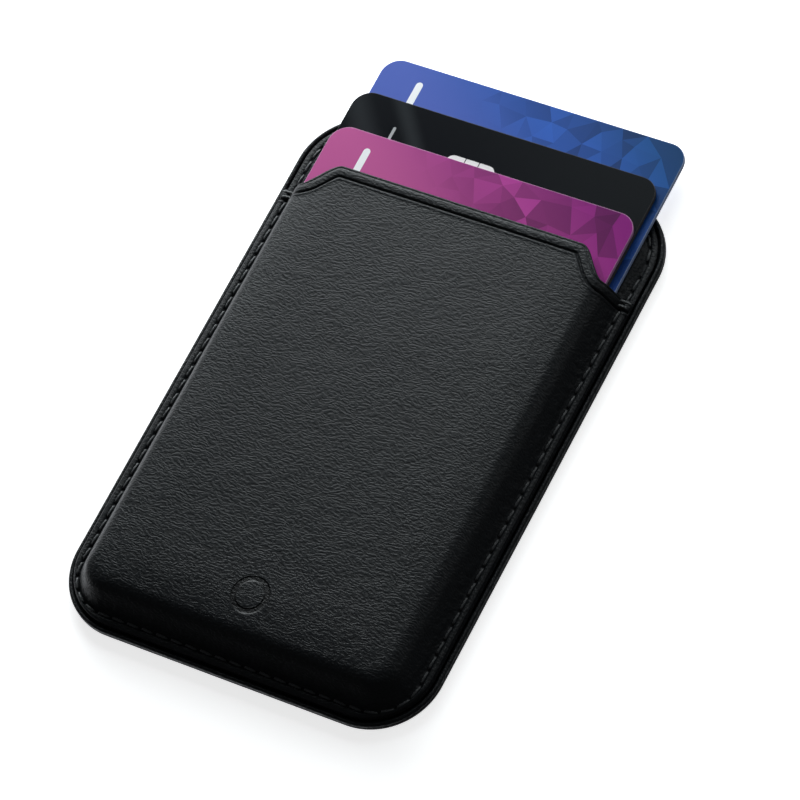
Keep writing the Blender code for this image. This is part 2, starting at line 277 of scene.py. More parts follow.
def pocket_path(inset):
    """A U from the right end of the opening round the bottom to the left end, at one inset."""
    half = HALF_WIDTH - inset
    bottom = inset - HALF_LENGTH
    radius = pocket_radius(inset)
    edge_y = float(opening_height(half))
    arm = [edge_y - step for step in EDGE_STEPS]
    arm_start = arm[-1]
    low = bottom + radius
    for step in range(1, ARM_STEPS + 1):
        arm.append(arm_start + (low - arm_start) * step / ARM_STEPS)
    right = [(half, y) for y in arm]
    for step in range(1, CORNER_STEPS + 1):
        angle = math.radians(-90 * step / CORNER_STEPS)
        right.append((half - radius + radius * math.cos(angle), low + radius * math.sin(angle)))
    start = half - radius
    middle = [(start - 2 * start * step / BOTTOM_STEPS, bottom) for step in range(1, BOTTOM_STEPS)]
    left = [(-x, y) for x, y in reversed(right)]
    return np.array(right + middle + left)


def run_lengths(points):
    """Distance along a path at each of its points."""
    steps = np.linalg.norm(np.diff(points, axis=0), axis=1)
    return np.concatenate([[0.0], np.cumsum(steps)])


def soft_noise(points, scale, seed=0.0):
    """Smooth noise from -1 to 1 at each point of an array. scale is the rough size of its waves."""
    places = points.reshape(-1, 3) / scale
    values = [noise.noise(Vector((x + seed, y - seed, z))) for x, y, z in places]
    return np.array(values).reshape(points.shape[:-1])


# ---------------------------------------------------------------- material helpers


def scaled(colour, factor):
    """A darker or brighter version of an RGB colour."""
    return tuple(value * factor for value in colour)


class Shader:
    """A new material with short calls to add and join its nodes."""

    def __init__(self, name):
        self.material = bpy.data.materials.new(name)
        self.material.use_nodes = True
        self.tree = self.material.node_tree
        self.surface = self.tree.nodes["Principled BSDF"]
        self.coordinates = self.add("ShaderNodeTexCoord").outputs["Object"]

    def add(self, kind, **settings):
        node = self.tree.nodes.new(kind)
        for key, value in settings.items():
            setattr(node, key, value)
        return node

    def put(self, socket, value):
        """Joins a socket to another one, or sets its number."""
        if isinstance(value, bpy.types.NodeSocket):
            self.tree.links.new(value, socket)
        else:
            socket.default_value = value

    def math(self, operation, a, b=0.0):
        node = self.add("ShaderNodeMath", operation=operation)
        self.put(node.inputs[0], a)
        self.put(node.inputs[1], b)
        return node.outputs[0]

    def vector(self, operation, a, b=(0.0, 0.0, 0.0), scale=1.0):
        node = self.add("ShaderNodeVectorMath", operation=operation)
        self.put(node.inputs[0], a)
        if operation == "SCALE":
            self.put(node.inputs["Scale"], scale)
        else:
            self.put(node.inputs[1], b)
        return node.outputs["Value" if operation in ("DISTANCE", "DOT_PRODUCT") else "Vector"]

    def mapped(self, scale, rotation=(0.0, 0.0, 0.0), source=None):
        node = self.add("ShaderNodeMapping")
        self.put(node.inputs["Vector"], source or self.coordinates)
        node.inputs["Scale"].default_value = scale
        node.inputs["Rotation"].default_value = rotation
        return node.outputs[0]

    def in_millimetres(self):
        """The piece's own coordinates in millimetres."""
        return self.mapped((1 / MM, 1 / MM, 1 / MM))

    def noise(self, source, scale, detail=2.0, roughness=0.5, distortion=0.0, output=0):
        node = self.add("ShaderNodeTexNoise")
        self.put(node.inputs["Vector"], source)
        node.inputs["Scale"].default_value = scale
        node.inputs["Detail"].default_value = detail
        node.inputs["Roughness"].default_value = roughness
        node.inputs["Distortion"].default_value = distortion
        return node.outputs[output]

    def voronoi(self, source, scale):
        node = self.add("ShaderNodeTexVoronoi")
        self.put(node.inputs["Vector"], source)
        node.inputs["Scale"].default_value = scale
        return node.outputs["Distance"]

    def span(self, value, low, high, to_low=0.0, to_high=1.0, smooth=False):
        node = self.add("ShaderNodeMapRange")
        node.interpolation_type = "SMOOTHSTEP" if smooth else "LINEAR"
        for key, number in (
            ("Value", value),
            ("From Min", low),
            ("From Max", high),
            ("To Min", to_low),
            ("To Max", to_high),
        ):
            self.put(node.inputs[key], number)
        return node.outputs[0]

    def put_colour(self, socket, colour):
        """Like put, for a colour given as an RGB triple or a socket."""
        self.put(socket, colour if isinstance(colour, bpy.types.NodeSocket) else (*colour, 1.0))

    def mix(self, share, first, second):
        """Mixes two colours, each an RGB triple or a socket."""
        node = self.add("ShaderNodeMix", data_type="RGBA")
        self.put(node.inputs[0], share)
        self.put_colour(node.inputs[6], first)
        self.put_colour(node.inputs[7], second)
        return node.outputs[2]

    def bump(self, height, distance, before=None):
        """Bump with a depth in millimetres, on top of another normal if one is given."""
        node = self.add("ShaderNodeBump")
        self.put(node.inputs["Height"], height)
        node.inputs["Distance"].default_value = distance * MM
        if before is not None:
            self.put(node.inputs["Normal"], before)
        return node.outputs[0]

    def finish(self, colour, roughness, normal=None, **numbers):
        self.put_colour(self.surface.inputs["Base Color"], colour)
        self.put(self.surface.inputs["Roughness"], roughness)
        if normal is not None:
            self.put(self.surface.inputs["Normal"], normal)
        for key, value in numbers.items():
            self.surface.inputs[key.replace("_", " ")].default_value = value
        return self.material


def outside_ring_line(shader, place):
    """0 on the line of the ring pressed into the face, rising softly to 1 on both sides of it."""
    flat_place = shader.vector("MULTIPLY", place, (1.0, 1.0, 0.0))
    away = shader.vector("DISTANCE", flat_place, (*RING_CENTRE, 0.0))
    from_line = shader.math("ABSOLUTE", shader.math("SUBTRACT", away, RING_RADIUS))
    half_line = RING_LINE / 2
    return shader.span(from_line, half_line - RING_SOFTNESS, half_line + RING_SOFTNESS, smooth=True)


def leather(name, colour, grain_depth, roughness, mark=False):
    """Embossed leather: long wavy creases across the width, with fine pores, a soft mottling and painted
    shade in the grain's valleys. With mark, the pressed ring line gets painted shade too.
    """
    shader = Shader(name)
    place = shader.in_millimetres()
    bend = shader.noise(place, 0.3, detail=2.0, output=1)
    bend = shader.vector("SUBTRACT", bend, (0.5, 0.5, 0.5))
    bent = shader.vector("ADD", place, shader.vector("SCALE", bend, scale=1.6))
    long_way = shader.mapped((1.5, 3.2, 2.5), rotation=(0.0, 0.0, math.radians(6)), source=bent)
    creases = shader.noise(long_way, 1.0, detail=1.0, roughness=0.4, distortion=0.2)
    creases = shader.span(creases, 0.36, 0.62, smooth=True)
    fine_way = shader.mapped((3.2, 6.0, 5.0), rotation=(0.0, 0.0, math.radians(-9)), source=bent)
    fine = shader.noise(fine_way, 1.0, detail=1.0, roughness=0.5)
    height = shader.math("ADD", shader.math("MULTIPLY", creases, 0.75), shader.math("MULTIPLY", fine, 0.45))
    pores = shader.voronoi(place, 3.1)
    height = shader.math("ADD", height, shader.math("MULTIPLY", pores, 0.1))
    normal = shader.bump(height, grain_depth)
    mottle = shader.noise(place, 0.09, detail=3.0, roughness=0.6)
    light = scaled(colour, 1.25)
    dark = scaled(colour, 0.8)
    paint = shader.mix(mottle, dark, light)
    # Painted shade: the grain's valleys are darkened towards 0.55 of the leather's colour.
    painted_valley_shade = scaled(colour, 0.55)
    paint = shader.mix(shader.span(height, 0.2, 0.6), painted_valley_shade, paint)
    rough = shader.math("ADD", shader.span(height, 0.2, 1.0, 0.07, -0.05), roughness)
    if mark:
        unpressed = outside_ring_line(shader, place)
        normal = shader.bump(unpressed, RING_DEPTH, before=normal)
        # Painted shade in the pressed ring line: the leather there is darkened to 0.3 of its colour.
        paint = shader.mix(unpressed, scaled(colour, 0.3), paint)
    return shader.finish(paint, rough, normal, Specular_IOR_Level=0.26)


def thread_finish(name, colour):
    """Waxed twisted thread. The twist itself is in the mesh."""
    shader = Shader(name)
    place = shader.in_millimetres()
    fibre = shader.noise(place, 9.0, detail=2.0)
    normal = shader.bump(fibre, 0.03)
    paint = shader.mix(fibre, scaled(colour, 0.6), scaled(colour, 1.5))
    return shader.finish(paint, shader.span(fibre, 0.2, 0.8, 0.32, 0.5), normal, Sheen_Weight=0.2)


def card_finish(name, node, colours, gradient_span, core_and_highlight_rim):
    """Printed card: a slanting gradient across the width, faceted towards the right, with paler sides and
    top bevel that show the card's pale core with a painted highlight.
    """
    left, middle, right = colours
    top_y = box_mm(node)[1][1]
    shader = Shader(name)
    place = shader.in_millimetres()
    split = shader.add("ShaderNodeSeparateXYZ")
    shader.put(split.inputs[0], place)
    below_top = shader.math("SUBTRACT", top_y, split.outputs[1])
    slant = shader.math("SUBTRACT", split.outputs[0], shader.math("MULTIPLY", below_top, GRADIENT_SLANT))
    across = shader.span(slant, *gradient_span)
    near = shader.mix(shader.span(across, 0.0, 0.5, smooth=True), left, middle)
    paint = shader.mix(shader.span(across, 0.45, 1.0, smooth=True), near, right)
    facet = shader.add("ShaderNodeAttribute", attribute_name="facet").outputs["Fac"]
    contrast = shader.span(across, 0.2, 0.6, 0.0, FACET_CONTRAST, smooth=True)
    lift = shader.math("ADD", shader.math("MULTIPLY", facet, contrast), 1.0)
    paint = shader.vector("SCALE", paint, scale=lift)
    # Paler sides and top bevel: the card's pale core edge, with a painted highlight.
    side = shader.add("ShaderNodeAttribute", attribute_name="core_and_highlight_rim").outputs["Fac"]
    paint = shader.mix(side, paint, core_and_highlight_rim)
    satin = shader.noise(place, 5.0, detail=2.0)
    normal = shader.bump(satin, 0.004)
    rough = shader.span(satin, 0.2, 0.8, CARD_ROUGHNESS - 0.04, CARD_ROUGHNESS + 0.04)
    return shader.finish(paint, rough, normal, Specular_IOR_Level=0.08)


def black_card_finish(name):
    """Gloss black card with two soft sweeps of grey at the left and a paler right side."""
    shader = Shader(name)
    place = shader.in_millimetres()
    split = shader.add("ShaderNodeSeparateXYZ")
    shader.put(split.inputs[0], place)
    across = shader.span(split.outputs[0], -27.0, 27.0)
    paler = shader.span(across, 0.35, 1.0, smooth=True)
    paint = shader.mix(paler, (0.0032, 0.0042, 0.0062), (0.0062, 0.0078, 0.0095))
    slant = shader.vector("DOT_PRODUCT", place, (0.77, 0.64, 0.0))
    for centre, half_width, share in ((10.4, 3.4, 0.75), (17.5, 2.2, 0.85)):
        away = shader.math("ABSOLUTE", shader.math("SUBTRACT", slant, centre))
        sweep = shader.span(away, 0.0, half_width, share, 0.0, smooth=True)
        paint = shader.mix(sweep, paint, (0.022, 0.025, 0.028))
    # Paler sides and top bevel: the card's pale core edge, with a painted highlight.
    side = shader.add("ShaderNodeAttribute", attribute_name="core_and_highlight_rim").outputs["Fac"]
    paint = shader.mix(side, paint, (0.09, 0.085, 0.08))
    satin = shader.noise(place, 4.0, detail=2.0)
    rough = shader.span(satin, 0.2, 0.8, 0.2, 0.28)
    return shader.finish(paint, rough, shader.bump(satin, 0.003), Specular_IOR_Level=0.04)


def metal_finish(name, colour, roughness):
    """Plated metal with a fine brushed grain."""
    shader = Shader(name)
    place = shader.mapped((8 / MM, 1.5 / MM, 4 / MM))
    brushed = shader.noise(place, 1.0, detail=3.0)
    paint = shader.mix(brushed, scaled(colour, 0.82), colour)
    rough = shader.span(brushed, 0.2, 0.8, roughness - 0.06, roughness + 0.1)
    return shader.finish(paint, rough, shader.bump(brushed, 0.01), Metallic=1.0)


def fibre_finish(name, colour, depth):
    """Fibrous board or brushed lining."""
    shader = Shader(name)
    place = shader.in_millimetres()
    fibre = shader.noise(place, 4.0, detail=4.0, roughness=0.7)
    paint = shader.mix(fibre, scaled(colour, 0.6), scaled(colour, 1.35))
    return shader.finish(paint, 0.9, shader.bump(fibre, depth), Sheen_Weight=0.15)


def mark_finish(name, colour):
    """Plain printed mark with a faint ink texture."""
    shader = Shader(name)
    place = shader.in_millimetres()
    ink = shader.noise(place, 6.0, detail=2.0)
    paint = shader.mix(ink, scaled(colour, 0.94), colour)
    return shader.finish(paint, 0.4)


LEATHER_COLOUR = (0.0055, 0.007, 0.0086)
front_leather = leather("front_leather", LEATHER_COLOUR, 0.042, 0.45, mark=True)
edge_leather = leather("edge_leather", LEATHER_COLOUR, 0.065, 0.5)
thread = thread_finish("waxed_thread", (0.045, 0.048, 0.05))


# ---------------------------------------------------------------- leather pieces


def holes_along(length, margin):
    """Distances of the stitch holes along a seam."""
    count = round((length - 2 * margin) / STITCH_PITCH)
    pitch = (length - 2 * margin) / count
    return [margin + pitch * i for i in range(count + 1)]


def seam_relief(insets, run, holes):
    """How far the leather sinks at each ring and run length: a shallow seam line with deeper holes."""
    off_line = insets[:, None] - SEAM_INSET
    nearest = np.min(np.abs(run[:, None] - np.array(holes)[None, :]), axis=1)
    line = SEAM_DIP * hump(off_line, 0.45) * np.ones_like(nearest)[None, :]
    away = np.sqrt(off_line ** 2 + (nearest[None, :] * 0.8) ** 2)
    return line + HOLE_DEPTH * hump(away, HOLE_RADIUS)


def front_section():
    """Outer section of the front panel, from the flange's lower edge to the middle of the face."""
    points = [(SEWN_INSET, FLANGE_BOTTOM), (SEWN_INSET, FLANGE_BOTTOM + 0.15)]
    rounding = (SEWN_INSET + FLANGE_ROUND, FLANGE_TOP - FLANGE_ROUND, FLANGE_ROUND, FLANGE_ROUND)
    points += section_arc(*rounding, 180, 90, 5)
    points += section_line(points[-1], (FOOT_INSET - 0.1, FLANGE_TOP), FINE_ROW_STEP)
    centre_height = SHOULDER_TOP - SHOULDER_RADIUS
    wall_height = centre_height + SHOULDER_RADIUS * math.sin(WALL_LEAN) - FLANGE_TOP
    wall_inset = FOOT_INSET + wall_height * math.tan(WALL_LEAN)
    wall_start = (FOOT_INSET + 0.12, FLANGE_TOP + 0.22)
    points.append((FOOT_INSET, FLANGE_TOP + 0.06))
    points.append(wall_start)
    points += section_line(wall_start, (wall_inset, FLANGE_TOP + wall_height), WALL_ROW_STEP)
    centre_inset = wall_inset + SHOULDER_RADIUS * math.cos(WALL_LEAN)
    start = 180 - math.degrees(WALL_LEAN)
    dome_tilt = math.degrees(math.atan(2 * FACE_DOME / DOME_WIDTH))
    shoulder = (centre_inset, centre_height, SHOULDER_RADIUS, SHOULDER_RADIUS)
    points += section_arc(*shoulder, start, 90 + dome_tilt, 14)[1:]
    dome_start, dome_foot = points[-1]
    inset = dome_start
    bend_inset = HALF_WIDTH - OPENING_BEND_START + BEAD_WIDTH
    while inset < HALF_WIDTH - 0.6:
        past_bend = inset - bend_inset
        inset += FACE_ROW_STEP if past_bend < 0 else min(0.3 + 0.06 * past_bend, FACE_ROW_WIDEST)
        share = min((inset - dome_start) / DOME_WIDTH, 1.0)
        rise = share * (2 - share)
        points.append((min(inset, HALF_WIDTH - 0.3), dome_foot + (CROWN_TOP - dome_foot) * rise))
    return points


def edge_distances(grid):
    """Distance of each point from the opening's edge, for the columns near both ends."""
    near = len(EDGE_STEPS)
    distances = np.full(grid.shape[:2], 99.0)
    for columns, end in ((slice(0, near), 0), (slice(grid.shape[1] - near, None), -1)):
        edge = grid[:, end, :].copy()
        edge[:, 1] += EDGE_STEPS[0]
        part = grid[:, columns, :]
        gaps = np.linalg.norm(part[:, :, None, :] - edge[None, None, :, :], axis=3)
        distances[:, columns] = gaps.min(axis=2)
    return distances


def edge_relief(distance):
    """The turned edge: a soft bead, its thin welt at the very edge and the crease below it."""
    bead = 0.1 * hump(distance - BEAD_WIDTH * 0.52, BEAD_WIDTH * 0.5)
    welt = -0.1 * hump(distance - 0.55, 0.2)
    crease = -CREASE_DEPTH * hump(distance - BEAD_WIDTH, CREASE_HALF_WIDTH)
    shoulder = 0.08 * hump(distance - BEAD_WIDTH - 0.42, 0.34)
    return bead + welt + crease + shoulder


def turned_edge(base, normals, relieved, end):
    """Columns that carry one end round the leather's edge and a little way back underneath."""
    half = LEATHER / 2
    inwards = 1 if end == 0 else -1
    edge = base[:, end, :]
    along_edge = np.gradient(edge, axis=0)
    along_edge /= np.maximum(np.linalg.norm(along_edge, axis=1, keepdims=True), 1e-9)
    pull = base[:, end + 3 * inwards, :] - edge
    pull -= (pull * along_edge).sum(axis=1, keepdims=True) * along_edge
    pull /= np.maximum(np.linalg.norm(pull, axis=1, keepdims=True), 1e-9)
    up = normals[:, end, :]
    centre = relieved[:, end, :] - up * half
    columns = []
    for angle in EDGE_TURN_ANGLES:
        turn = math.radians(angle)
        columns.append(centre + half * (math.sin(turn) * up - math.cos(turn) * pull))
    for column in UNDERSIDE_COLUMNS:
        index = column if end == 0 else -1 - column
        columns.append(base[:, index, :] - normals[:, index, :] * LEATHER)
    columns.reverse()
    return np.stack(columns, axis=1)


def make_front_panel():
    """The moulded pocket front with its sewn flange. Gives the seam's path, run lengths and holes."""
    section = front_section()
    insets = np.array([inset for inset, height in section])
    rings = []
    for inset, height in section:
        plan = pocket_path(inset)
        rings.append(np.column_stack([plan, np.full(len(plan), height)]))
    base = np.stack(rings)
    normals = grid_normals(base)
    seam_row = int(np.argmin(np.abs(insets[:SEAM_SEARCH_ROWS] - SEAM_INSET)))
    seam = base[seam_row]
    run = run_lengths(seam)
    holes = holes_along(run[-1], 1.6)
    relief = edge_relief(edge_distances(base))
    flange = insets < FOOT_INSET + 0.2
    sink = seam_relief(insets, run, holes)
    sink[insets > SEAM_INSET + 0.5, :] = 0.0
    relief = relief - sink
    puffed = 0.1 * hump(insets - 1.65, 0.55) * flange
    relief = relief + puffed[:, None]
    uneven = soft_noise(base, 9.0)
    gathers = soft_noise(base * np.array([1.0, 1.0, 0.35]), 0.75, seed=7.3)
    heights = np.array([height for inset, height in section])
    on_wall = hump(heights - FLANGE_TOP - 1.0, 1.6) * (insets > FOOT_INSET - 0.05) * (heights < 6.5)
    relief = relief + 0.03 * uneven + 0.09 * gathers * on_wall[:, None]
    relieved = base + normals * relief[:, :, None]
    relieved[0] = base[0]
    right = turned_edge(base, normals, relieved, 0)
    left = turned_edge(base, normals, relieved, -1)[:, ::-1, :]
    grid = np.concatenate([right, relieved, left], axis=1)
    rows, columns = grid.shape[:2]
    faces = grid_faces(rows, columns, flip=True)
    last = (rows - 1) * columns
    half_count = columns // 2
    for i in range(half_count):
        a = last + i
        b = last + i + 1
        c = last + columns - 2 - i
        d = last + columns - 1 - i
        if b < c:
            faces.append((a, d, c, b))
    panel = mesh_object("front_leather_panel", grid.reshape(rows * columns, 3), faces, front_leather)
    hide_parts("front_panel")
    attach(panel, "holder")
    return seam, run, holes


def ring_piece(name, section, relief, material):
    """A band of rings round the holder's outline, with its first and last ring filled."""
    rings = []
    for inset, height in section:
        plan = closed_outline(inset)
        rings.append(np.column_stack([plan, np.full(len(plan), height)]))
    base = np.stack(rings)
    insets = np.array([inset for inset, height in section])
    moved = base + grid_normals(base, closed=True) * relief(base, insets)[:, :, None]
    rows, columns = moved.shape[:2]
    faces = grid_faces(rows, columns, closed=True)
    faces.append(list(reversed(range(columns))))
    faces.append([(rows - 1) * columns + i for i in range(columns)])
    return mesh_object(name, moved.reshape(rows * columns, 3), faces, material), base


def make_inner_panel():
    """The sewn inner sheet. Its slope up to the card bed is gathered in short creases."""
    top = INNER_EDGE_TOP
    middle = (INNER_BOTTOM + top) / 2
    edge_inset = SEWN_INSET + 0.2
    section = [(INNER_BED_INSET, BED_TOP - 0.6), (edge_inset, INNER_BOTTOM)]
    section += section_arc(edge_inset, middle, 0.2, middle - INNER_BOTTOM, 270, 90, 8)
    section += section_line(section[-1], (FOOT_INSET - 0.1, top), FINE_ROW_STEP)
    section += section_line(section[-1], (INNER_BED_INSET - 0.15, BED_TOP - 0.06), FINE_ROW_STEP)
    section += [(INNER_BED_INSET, BED_TOP), (INNER_BED_INSET + 0.4, BED_TOP + 0.01), (6.0, BED_TOP + 0.01)]
    heights = np.array([height for inset, height in section])
    outside = np.arange(len(section)) > 10

    def seam_of(base, insets):
        seam = base[2 + int(np.argmin(np.abs(insets[2:SEAM_SEARCH_ROWS] - SEAM_INSET)))]
        run = run_lengths(seam)
        return seam, run, holes_along(run[-1], STITCH_PITCH / 2)

    def relief(base, insets):
        _, run, holes = seam_of(base, insets)
        sink = seam_relief(insets, run, holes)
        upper = outside * (insets < SEAM_INSET + 0.5)
        puffed = 0.07 * hump(insets - 1.65, 0.55) * outside
        gathers = soft_noise(base, 0.36, seed=2.1)
        slope = hump(heights - (top + BED_TOP) / 2, 0.5) * (insets > FOOT_INSET - 0.15) * outside
        return puffed[:, None] - sink * upper[:, None] + 0.2 * gathers * slope[:, None]

    panel, base = ring_piece("inner_leather_panel", section, relief, edge_leather)
    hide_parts("inner_panel")
    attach(panel, "holder")
    return seam_of(base, np.array([inset for inset, height in section]))


def make_back_cover():
    """Back cover with a rounded outer side, a creased line under the lip and the raised lip."""
    section = [(4.0, 0.0)]
    rounding = (BACK_ROUND_WIDTH, BACK_ROUND_HEIGHT, BACK_ROUND_WIDTH, BACK_ROUND_HEIGHT)
    section += section_arc(*rounding, 270, 180, 10)
    lip_side = LIP_TOP - LIP_ROUND
    section += section_line(section[-1], (0.0, lip_side), FINE_ROW_STEP)
    section += section_arc(LIP_WIDTH / 2, lip_side, LIP_WIDTH / 2, LIP_ROUND, 180, 0, 12)[1:]
    section += [(LIP_WIDTH, LEDGE_TOP), (LEDGE_INSET, LEDGE_TOP)]
    heights = np.array([height for inset, height in section])

    def relief(base, insets):
        uneven = soft_noise(base, 6.0, seed=5.0)
        side = (insets < 0.3) * hump(heights - 1.35, 0.16)
        return 0.015 * uneven - 0.07 * side[:, None]

    cover, base = ring_piece("back_leather_cover", section, relief, edge_leather)
    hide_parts("back_cover")
    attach(cover, "holder")


# ---------------------------------------------------------------- stitches


def point_on(path, run, distance):
    """Position and direction at a distance along a path."""
    position = np.array([np.interp(distance, run, path[:, axis]) for axis in range(3)])
    ahead = np.array([np.interp(distance + 0.2, run, path[:, axis]) for axis in range(3)])
    behind = np.array([np.interp(distance - 0.2, run, path[:, axis]) for axis in range(3)])
    direction = ahead - behind
    return position, direction / np.linalg.norm(direction)


def twisted_thread(points, faces, centres, radius, turns):
    """Adds one closed length of two-ply thread along the given centres."""
    sides = 10
    first = len(points)
    count = len(centres)
    for i, centre in enumerate(centres):
        ahead = centres[min(i + 1, count - 1)] - centres[max(i - 1, 0)]
        ahead = ahead / np.linalg.norm(ahead)
        side = np.cross(ahead, (0.0, 0.0, 1.0))
        side /= np.linalg.norm(side)
        up = np.cross(side, ahead)
        twist = 2 * math.pi * turns * i / (count - 1)
        taper = 0.35 if i in (0, count - 1) else 1.0
        for k in range(sides):
            angle = 2 * math.pi * k / sides
            reach = radius * taper * (1 + 0.16 * math.cos(2 * (angle - twist)))
            points.append(centre + side * reach * math.cos(angle) + up * reach * math.sin(angle))
    for i in range(count - 1):
        for k in range(sides):
            m = (k + 1) % sides
            a = first + i * sides
            b = a + sides
            faces.append((a + k, b + k, b + m, a + m))
    faces.append([first + k for k in range(sides)])
    faces.append([first + (count - 1) * sides + k for k in reversed(range(sides))])


def make_stitches(name, node, seam, lowest_y):
    """A row of stitches above a height, each rising out of one hole and diving into the next."""
    path, run, holes = seam
    chooser = random.Random(11)
    points = []
    faces = []
    steps = 12
    for start, end in zip(holes, holes[1:]):
        middle, _ = point_on(path, run, (start + end) / 2)
        if middle[1] <= lowest_y:
            continue
        length = (end - start) * (STITCH_SHARE + chooser.uniform(-0.03, 0.03))
        slant = 0.07 + chooser.uniform(-0.03, 0.03)
        centres = []
        for step in range(steps + 1):
            share = step / steps
            distance = (start + end) / 2 + (share - 0.5) * length
            position, direction = point_on(path, run, distance)
            side = np.cross(direction, (0.0, 0.0, 1.0))
            arch = math.sin(math.pi * share) ** 0.55
            lift = -0.3 + arch * (0.3 - SEAM_DIP + THREAD_RADIUS * 0.75)
            sideways = side * slant * (share - 0.5) * 2
            centres.append(position + sideways + np.array((0.0, 0.0, lift)))
        twisted_thread(points, faces, centres, THREAD_RADIUS, 1.6)
    stitches = mesh_object(name, points, faces, thread)
    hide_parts(node)
    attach(stitches, "holder")


def make_bar_tacks():
    """Two passes of thread across the flange at each end of the opening."""
    steps = 14
    for name, node, side in (
        ("left_tack_thread", "left_bar_tack", -1),
        ("right_tack_thread", "right_bar_tack", 1),
    ):
        points = []
        faces = []
        for offset, inner, outer in TACK_PASSES:
            y = OPENING_LOW_Y - offset
            centres = []
            for step in range(steps + 1):
                share = step / steps
                inset = inner + (outer - inner) * share
                rise = math.sin(math.pi * share) ** 0.4
                height = FLANGE_TOP - 0.25 + rise * 0.42
                centres.append(np.array((side * (HALF_WIDTH - inset), y - 0.12 * share, height)))
            twisted_thread(points, faces, centres, THREAD_RADIUS * 1.1, 1.8)
        tack_piece = mesh_object(name, points, faces, thread)
        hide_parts(node)
        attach(tack_piece, "holder")


# ---------------------------------------------------------------- cards


def card_ring(low, high, inset, height, steps=10):
    """A card's outline at one height, moved inwards by an inset."""
    radius = CARD_CORNER - inset
    points = []
    for corner_x, corner_y, start in (
        (high[0] - CARD_CORNER, high[1] - CARD_CORNER, 0),
        (low[0] + CARD_CORNER, high[1] - CARD_CORNER, 90),
        (low[0] + CARD_CORNER, low[1] + CARD_CORNER, 180),
        (high[0] - CARD_CORNER, low[1] + CARD_CORNER, 270),
    ):
        for step in range(steps + 1):
            angle = math.radians(start + 90 * step / steps)
            x = corner_x + radius * math.cos(angle)
            y = corner_y + radius * math.sin(angle)
            points.append((x, y, height))
    return with_side_points(points)


def with_side_points(points, pitch=4.2):
    """Adds evenly spaced points to the long sides of a closed ring."""
    filled = []
    for i, point in enumerate(points):
        after = points[(i + 1) % len(points)]
        filled.append(point)
        count = int(math.dist(point, after) / pitch)
        for step in range(1, count):
            filled.append(tuple(a + (b - a) * step / count for a, b in zip(point, after)))
    return filled


def facet_points(low, high, seed, pitch=4.0):
    """Loose triangular lattice over a card's face, kept away from its edge."""
    chooser = random.Random(seed)
    margin = 2.2
    points = []
    row = 0
    y = high[1] - margin
    while y > low[1] + margin:
        x = low[0] + margin + (pitch / 2 if row % 2 else 0.0)
        while x < high[0] - margin:
            jitter = 0.24 * pitch
            points.append((x + chooser.uniform(-jitter, jitter), y + chooser.uniform(-jitter, jitter)))
            x += pitch
        y -= pitch * 0.82
        row += 1
    inside = []
    for x, y in points:
        if low[0] + 1 < x < high[0] - 1 and low[1] + 1 < y < high[1] - 1:
            inside.append((x, y))
    return inside


def make_card(name, node, body, material, seed):
    """A card with rounded edges. Its face is cut into flat triangles that each hold one shade."""
    low, high = box_mm(node)
    thickness = high[2] - low[2]
    levels = (
        (CARD_EDGE, 0.0),
        (CARD_RIM_ROUND, CARD_RIM_ROUND),
        (0.0, CARD_EDGE),
        (0.0, thickness - CARD_EDGE),
        (CARD_RIM_ROUND, thickness - CARD_RIM_ROUND),
        (CARD_EDGE, thickness),
    )
    rings = [card_ring(low, high, inset, low[2] + height) for inset, height in levels]
    columns = len(rings[0])
    points = [point for ring in rings for point in ring]
    faces = grid_faces(len(rings), columns, closed=True)
    side_count = len(faces)
    faces.append(list(reversed(range(columns))))
    top = rings[-1]
    plan = [Vector(point[:2]) for point in top]
    plan += [Vector(point) for point in facet_points(low, high, seed)]
    edges = [(i, (i + 1) % columns) for i in range(columns)]
    verts, _, triangles, _, _, _ = delaunay_2d_cdt(plan, edges, [], 1, 1e-6)
    first = len(points)
    points += [(vert.x, vert.y, low[2] + thickness) for vert in verts]
    for triangle in triangles:
        faces.append([first + index for index in triangle])
    card = mesh_object(name, points, faces, material, smooth=False)
    mesh = card.data
    chooser = random.Random(seed + 1)
    shades = mesh.attributes.new("facet", "FLOAT", "FACE")
    core_and_highlight_rims = mesh.attributes.new("core_and_highlight_rim", "FLOAT", "FACE")
    corner_shades = [chooser.uniform(-1.0, 1.0) for vert in verts]
    for index, polygon in enumerate(mesh.polygons):
        shade = 0.0
        if index > side_count:
            shade = chooser.uniform(-1.0, 1.0)
            inner = [vertex - first for vertex in polygon.vertices if vertex - first >= columns]
            if len(inner) == 1:
                shade = corner_shades[inner[0]]
        shades.data[index].value = shade
        # The sides and top bevel take 0.75 of the paler colour: the pale core edge with a painted
        # highlight.
        core_and_highlight_rims.data[index].value = 0.75 if index < side_count and index >= 2 * columns else 0.0
    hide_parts(node)
    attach(card, body)
    return card


def make_mark(name, body, centre, size, material):
    """A plain bar with round ends, printed along the card's length."""
    length, width = size
    radius = width / 2
    reach = length / 2 - radius
    ring = []
    for end_y, start in ((reach, -90), (-reach, 90)):
        for step in range(9):
            bend = math.radians(start + 180 * step / 8)
            ring.append((centre[0] - radius * math.sin(bend), centre[1] + end_y + radius * math.cos(bend)))
    count = len(ring)
    top = box_mm(body)[1][2]
    points = [(x, y, height) for height in (top, top + INK_HEIGHT) for x, y in ring]
    faces = grid_faces(2, count, closed=True)
    faces.append(list(reversed(range(count))))
    faces.append([count + i for i in range(count)])
    piece = mesh_object(name, points, faces, material, smooth=False)
    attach(piece, body)


